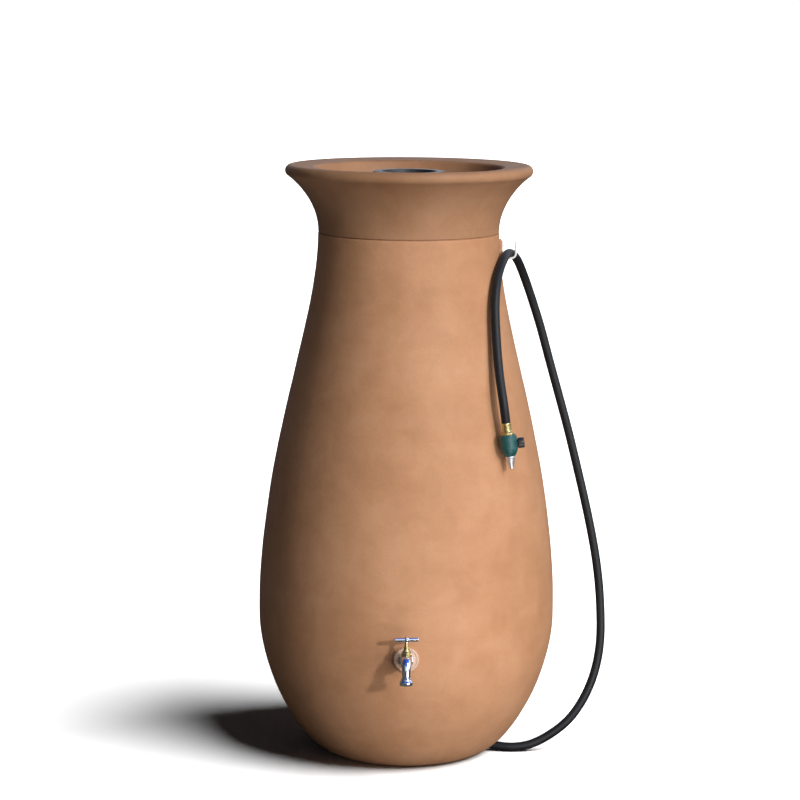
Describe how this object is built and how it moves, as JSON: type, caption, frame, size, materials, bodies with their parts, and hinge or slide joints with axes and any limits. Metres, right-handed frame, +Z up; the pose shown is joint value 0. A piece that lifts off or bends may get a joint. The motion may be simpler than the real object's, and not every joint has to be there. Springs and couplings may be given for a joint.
{
  "type": "rain barrel",
  "caption": "Urn-shaped rain barrel with a lift-off planter top, inlet screen, front tap, overflow, and a drain hose with a shut-off valve on a hook.",
  "frame": {"origin": "centre of the flat base, on the surface it stands on", "axes": "+Z up along the barrel's axis, -Y towards the tap, +X towards the hose and its hook"},
  "size_m": [0.7198, 0.6892, 1.21],
  "materials": {
    "terracotta_body": "fine matte, mottled terracotta",
    "terracotta_top": "fine matte, mottled terracotta",
    "flange_plastic": "satin",
    "black_plastic": "satin",
    "knob_plastic": "semi-gloss",
    "steel_mesh": "woven wire",
    "chrome": "polished",
    "brass": "machined, slightly tarnished",
    "steel": "zinc plated",
    "seal_rubber": "matte",
    "hose_rubber": "matte with a soft sheen",
    "green_enamel": "semi-gloss dark green",
    "tip_metal": "satin",
    "white_paint": "white powder coat"
  },
  "bodies": {
    "barrel": {"barrel_body": "terracotta_body", "tap_flange": "flange_plastic", "tap_body": "chrome", "tap_bonnet": "brass", "tap_packing": "seal_rubber", "tap_gland_nut": "brass", "tap_gasket": "seal_rubber", "tap_locknut": "brass", "outlet_fitting": "black_plastic", "outlet_gasket": "seal_rubber", "outlet_locknut": "black_plastic", "hose_clamp": "steel", "hose": "hose_rubber", "hose_ferrule": "brass", "hose_nut": "brass", "valve_body": "green_enamel", "nozzle_tip": "tip_metal", "hose_hook": "white_paint", "hook_screws": "steel", "overflow_spout": "black_plastic", "overflow_gasket": "seal_rubber", "overflow_locknut": "black_plastic"},
    "planter": {"planter_top": "terracotta_top"},
    "screen": {"screen_frame": "black_plastic", "screen_mesh": "steel_mesh"},
    "tap_valve": {"tap_jumper": "brass", "tap_jumper_washer": "seal_rubber"},
    "tap_key": {"tap_spindle": "brass", "tap_handle": "chrome", "tap_handle_screw": "steel"},
    "hose_tap_key": {"valve_ball": "chrome", "valve_stem": "steel", "valve_knob": "knob_plastic", "knob_screw": "steel"}
  },
  "joints": [
    {"name": "planter_lift", "type": "slide", "parent": "barrel", "child": "planter", "axis": [0, 0, 1], "range_m": [0, 0.12]},
    {"name": "screen_lift", "type": "slide", "parent": "planter", "child": "screen", "axis": [0, 0, 1], "range_m": [0, 0.09]},
    {"name": "tap_rise", "type": "slide", "parent": "barrel", "child": "tap_valve", "axis": [0, 0, 1], "range_m": [0, 0.0045]},
    {"name": "tap_turn", "type": "hinge", "parent": "tap_valve", "child": "tap_key", "pos_m": [0, -0.345, 0.312], "axis": [0, 0, 1], "range_deg": [0, 540]},
    {"name": "hose_valve_turn", "type": "hinge", "parent": "barrel", "child": "hose_tap_key", "pos_m": [0.19946, -0.20328, 0.67349], "axis": [0.9915, 0, 0.1305], "range_deg": [0, 90]}
  ],
  "couplings": [
    {"joint": "tap_rise", "follows": "tap_turn", "m_per_rad": 0.00047746}
  ]
}
